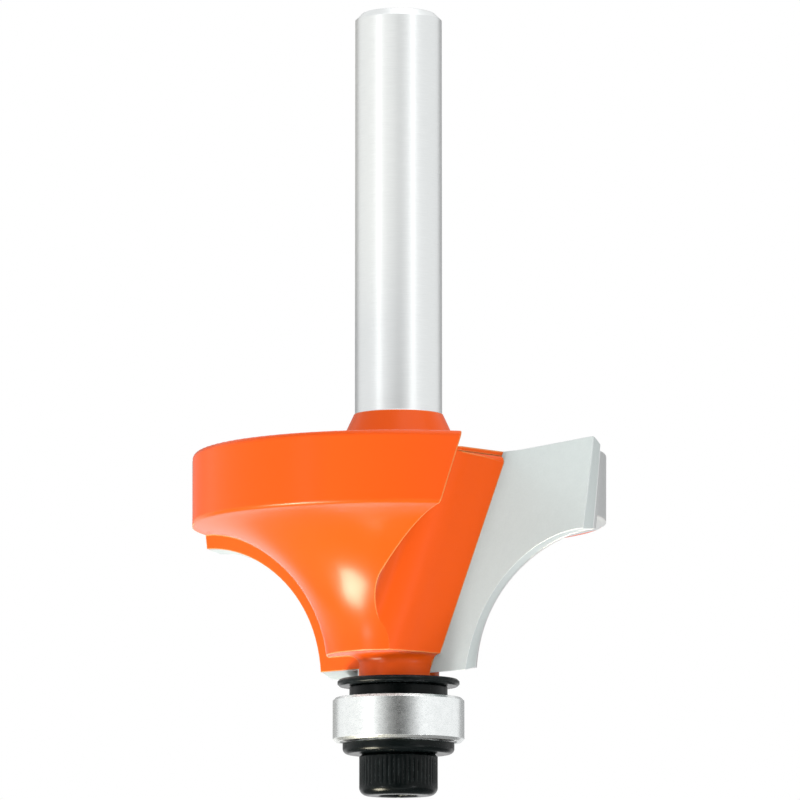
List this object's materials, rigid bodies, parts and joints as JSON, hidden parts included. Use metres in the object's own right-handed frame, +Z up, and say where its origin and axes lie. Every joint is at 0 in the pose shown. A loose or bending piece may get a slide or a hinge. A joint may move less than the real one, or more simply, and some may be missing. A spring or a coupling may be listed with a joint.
{
  "type": "router bit",
  "caption": "Edge-rounding router bit with a plain round shank, carbide tips brazed to a painted steel body with a concave cove, and a guide bearing held by a socket screw.",
  "frame": {"origin": "on the bit's axis at the flat of the clamping screw's head, on which it stands", "axes": "+Z up the axis to the free end of the shank; the first wing's tip lies towards +X and its face looks towards -Y"},
  "size_m": [0.03, 0.0298, 0.0573],
  "materials": {
    "painted_steel": "glossy orange enamel over turned steel, bare where it is ground",
    "carbide": "fine-ground cemented carbide",
    "bearing_steel": "ground and lapped chrome steel",
    "shield_steel": "thin pressed stainless steel",
    "cage_brass": "pressed brass crown cage",
    "black_oxide": "blackened steel, slightly oily"
  },
  "bodies": {
    "cutter": {"cutter_body": "painted_steel", "carbide_tip_1": "carbide", "carbide_tip_2": "carbide", "dust_shield": "black_oxide", "spacer_ring": "black_oxide", "bearing_inner_race": "bearing_steel", "retaining_washer": "black_oxide", "cap_screw": "black_oxide"},
    "bearing_ring": {"bearing_outer_race": "bearing_steel", "bearing_shield_upper": "shield_steel", "bearing_shield_lower": "shield_steel"},
    "ball_set": {"bearing_cage": "cage_brass", "bearing_ball_1": "bearing_steel", "bearing_ball_2": "bearing_steel", "bearing_ball_3": "bearing_steel", "bearing_ball_4": "bearing_steel", "bearing_ball_5": "bearing_steel", "bearing_ball_6": "bearing_steel", "bearing_ball_7": "bearing_steel", "bearing_ball_8": "bearing_steel"}
  },
  "joints": [
    {"name": "bearing_spin", "type": "hinge", "parent": "cutter", "child": "bearing_ring", "pos_m": [0, 0, 0.00547], "axis": [0, 0, 1], "continuous": true},
    {"name": "ball_set_spin", "type": "hinge", "parent": "cutter", "child": "ball_set", "pos_m": [0, 0, 0.00547], "axis": [0, 0, 1], "continuous": true}
  ],
  "couplings": [
    {"joint": "ball_set_spin", "follows": "bearing_spin", "ratio": 0.6118}
  ]
}
